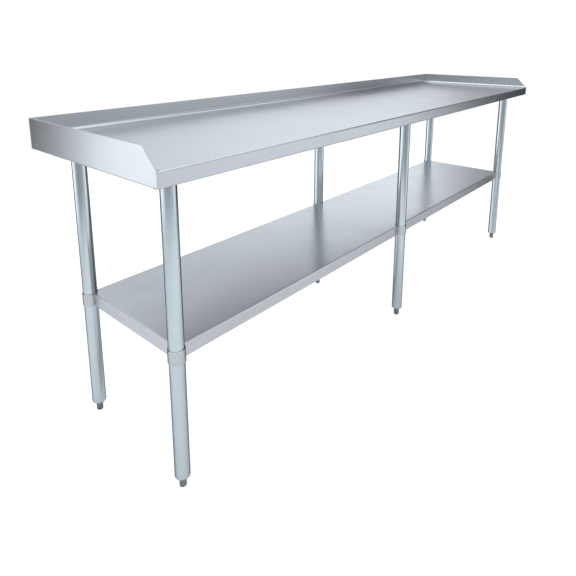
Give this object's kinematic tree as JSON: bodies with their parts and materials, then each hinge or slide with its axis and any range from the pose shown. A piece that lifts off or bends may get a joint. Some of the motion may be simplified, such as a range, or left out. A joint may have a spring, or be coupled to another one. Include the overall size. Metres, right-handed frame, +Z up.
{
  "type": "work table",
  "caption": "Long stainless steel work table with a low splash along the back and both ends, round tube legs, screw-in levelling feet and a height-adjustable undershelf.",
  "frame": {"origin": "on the floor, under the middle of the table", "axes": "+X along the table to the right as seen from the front, +Y to the back splash, +Z up"},
  "size_m": [2.4384, 0.6096, 0.9398],
  "materials": {
    "brushed_stainless": "brushed along the sheet",
    "stainless_tube": "satin, polished round the tube",
    "satin_collar": "satin",
    "galvanised_steel": "hot-dip galvanised, spangled",
    "plug_plastic": "moulded, dark grey",
    "foot_casting": "grey die casting",
    "damping_tape": "black foam tape",
    "zinc_fastener": "bright zinc plated"
  },
  "bodies": {
    "table_frame": {"back_splash": "brushed_stainless", "cross_channel_left": "galvanised_steel", "cross_channel_middle": "galvanised_steel", "cross_channel_right": "galvanised_steel", "foot_plug_front_left": "plug_plastic", "foot_plug_front_middle": "plug_plastic", "foot_plug_front_right": "plug_plastic", "foot_plug_rear_left": "plug_plastic", "foot_plug_rear_middle": "plug_plastic", "foot_plug_rear_right": "plug_plastic", "left_side_splash": "brushed_stainless", "leg_front_left": "stainless_tube", "leg_front_middle": "stainless_tube", "leg_front_right": "stainless_tube", "leg_rear_left": "stainless_tube", "leg_rear_middle": "stainless_tube", "leg_rear_right": "stainless_tube", "leg_socket_front_left": "galvanised_steel", "leg_socket_front_middle": "galvanised_steel", "leg_socket_front_right": "galvanised_steel", "leg_socket_rear_left": "galvanised_steel", "leg_socket_rear_middle": "galvanised_steel", "leg_socket_rear_right": "galvanised_steel", "long_channel_left": "galvanised_steel", "long_channel_right": "galvanised_steel", "right_side_splash": "brushed_stainless", "socket_set_screws": "zinc_fastener", "worktop": "brushed_stainless", "worktop_damping_tape": "damping_tape", "worktop_stud_nuts": "zinc_fastener", "worktop_studs": "zinc_fastener"},
    "undershelf_assembly": {"collar_set_screws": "zinc_fastener", "shelf_channel": "galvanised_steel", "shelf_collar_front_left": "satin_collar", "shelf_collar_front_middle": "satin_collar", "shelf_collar_front_right": "satin_collar", "shelf_collar_rear_left": "satin_collar", "shelf_collar_rear_middle": "satin_collar", "shelf_collar_rear_right": "satin_collar", "shelf_damping_tape": "damping_tape", "shelf_stud_nuts": "zinc_fastener", "shelf_studs": "zinc_fastener", "undershelf": "brushed_stainless"},
    "adjuster_front_left": {"foot_front_left": "foot_casting"},
    "adjuster_front_middle": {"foot_front_middle": "foot_casting"},
    "adjuster_front_right": {"foot_front_right": "foot_casting"},
    "adjuster_rear_left": {"foot_rear_left": "foot_casting"},
    "adjuster_rear_middle": {"foot_rear_middle": "foot_casting"},
    "adjuster_rear_right": {"foot_rear_right": "foot_casting"}
  },
  "joints": [
    {"name": "undershelf_height", "type": "slide", "parent": "table_frame", "child": "undershelf_assembly", "axis": [0, 0, 1], "range_m": [-0.3, 0.4]},
    {"name": "foot_screw_front_left", "type": "slide", "parent": "table_frame", "child": "adjuster_front_left", "axis": [0, 0, -1], "range_m": [0, 0.025]},
    {"name": "foot_screw_front_middle", "type": "slide", "parent": "table_frame", "child": "adjuster_front_middle", "axis": [0, 0, -1], "range_m": [0, 0.025]},
    {"name": "foot_screw_front_right", "type": "slide", "parent": "table_frame", "child": "adjuster_front_right", "axis": [0, 0, -1], "range_m": [0, 0.025]},
    {"name": "foot_screw_rear_left", "type": "slide", "parent": "table_frame", "child": "adjuster_rear_left", "axis": [0, 0, -1], "range_m": [0, 0.025]},
    {"name": "foot_screw_rear_middle", "type": "slide", "parent": "table_frame", "child": "adjuster_rear_middle", "axis": [0, 0, -1], "range_m": [0, 0.025]},
    {"name": "foot_screw_rear_right", "type": "slide", "parent": "table_frame", "child": "adjuster_rear_right", "axis": [0, 0, -1], "range_m": [0, 0.025]}
  ]
}
